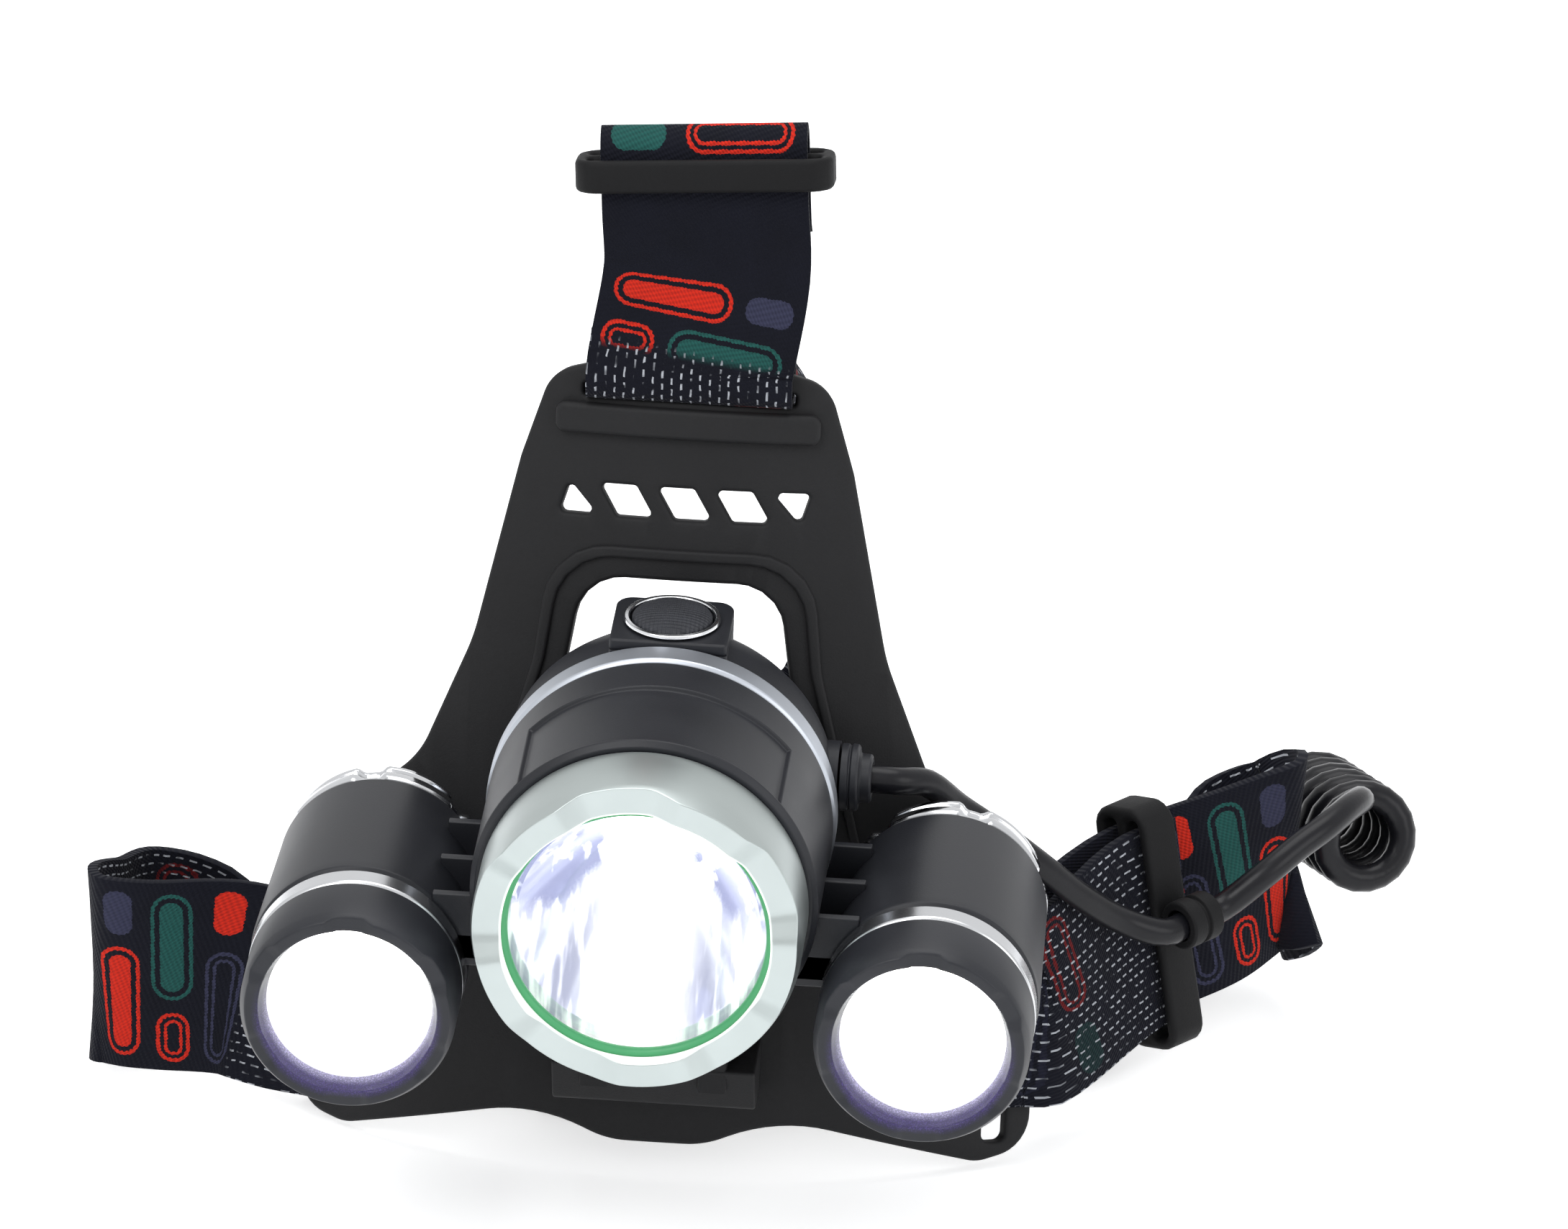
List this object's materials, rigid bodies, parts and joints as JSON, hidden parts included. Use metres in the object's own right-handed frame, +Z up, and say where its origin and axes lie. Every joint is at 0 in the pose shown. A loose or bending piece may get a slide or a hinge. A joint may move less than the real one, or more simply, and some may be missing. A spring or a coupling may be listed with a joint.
{
  "type": "headlamp",
  "caption": "Head-worn lamp: a tilting cluster of round lamps on a bent forehead plate, with elastic straps, a curly power cord and a rear battery case.",
  "frame": {"origin": "on the flat rest face of the battery case, below the middle plane of the lamp cluster", "axes": "+Z up, lamps look along -Y, +X to the right of a viewer facing the lamps"},
  "size_m": [0.1909, 0.1415, 0.15],
  "materials": {
    "black_plastic": "fine satin",
    "plate_rubber": "matt",
    "webbing": "knitted elastic with a coloured pattern",
    "cord_jacket": "smooth",
    "silver_aluminium": "satin anodised",
    "grey_aluminium": "satin anodised",
    "chrome": "polished",
    "mirror": "polished",
    "glass": "polished",
    "green_seal": "glowing green",
    "emitter": "satin",
    "circuit_board": "satin",
    "button_rubber": "textured",
    "steel": "plain",
    "cell_wrap": "shrink wrapped"
  },
  "bodies": {
    "band": {"battery_case": "black_plastic", "case_gland": "black_plastic", "cord_clip": "black_plastic", "cord_curly": "cord_jacket", "cord_front": "cord_jacket", "cover_pin": "steel", "forehead_plate": "plate_rubber", "front_cell": "cell_wrap", "front_spring": "steel", "front_spring_contact": "steel", "front_tip_contact": "steel", "hinge_nut": "steel", "hinge_pin": "steel", "left_strap": "webbing", "rear_cell": "cell_wrap", "rear_spring": "steel", "rear_spring_contact": "steel", "rear_tip_contact": "steel", "right_strap": "webbing", "side_adjuster": "black_plastic", "top_adjuster": "black_plastic", "top_strap": "webbing"},
    "lamp": {"button_ring": "chrome", "heat_sink_ring": "grey_aluminium", "lamp_gland": "black_plastic", "left_lamp_barrel": "black_plastic", "left_lamp_bezel": "black_plastic", "left_lamp_led": "emitter", "left_lamp_lens": "glass", "left_lamp_rear_cap": "chrome", "left_lamp_reflector": "mirror", "left_lamp_trim_ring": "silver_aluminium", "lens_seal": "green_seal", "main_bezel": "silver_aluminium", "main_housing": "black_plastic", "main_led": "emitter", "main_lens": "glass", "main_reflector": "mirror", "rear_cap": "black_plastic", "right_lamp_barrel": "black_plastic", "right_lamp_bezel": "black_plastic", "right_lamp_led": "emitter", "right_lamp_lens": "glass", "right_lamp_rear_cap": "chrome", "right_lamp_reflector": "mirror", "right_lamp_trim_ring": "silver_aluminium", "switch_board": "circuit_board", "tact_switch": "steel"},
    "button": {"power_button": "button_rubber"},
    "cover": {"battery_cover": "black_plastic"}
  },
  "joints": [
    {"name": "lamp_tilt", "type": "hinge", "parent": "band", "child": "lamp", "pos_m": [0, -0.0505, 0.0274], "axis": [1, 0, 0], "range_deg": [0, 30], "deforming": ["cord_front"]},
    {"name": "power_button_press", "type": "slide", "parent": "lamp", "child": "button", "axis": [0, 0, -1], "range_m": [0, 0.001], "stiffness_N_per_m": 900},
    {"name": "battery_cover_swing", "type": "hinge", "parent": "band", "child": "cover", "pos_m": [-0.004, 0.02375, 0.02015], "axis": [-1, 0, 0], "range_deg": [0, 105]}
  ]
}
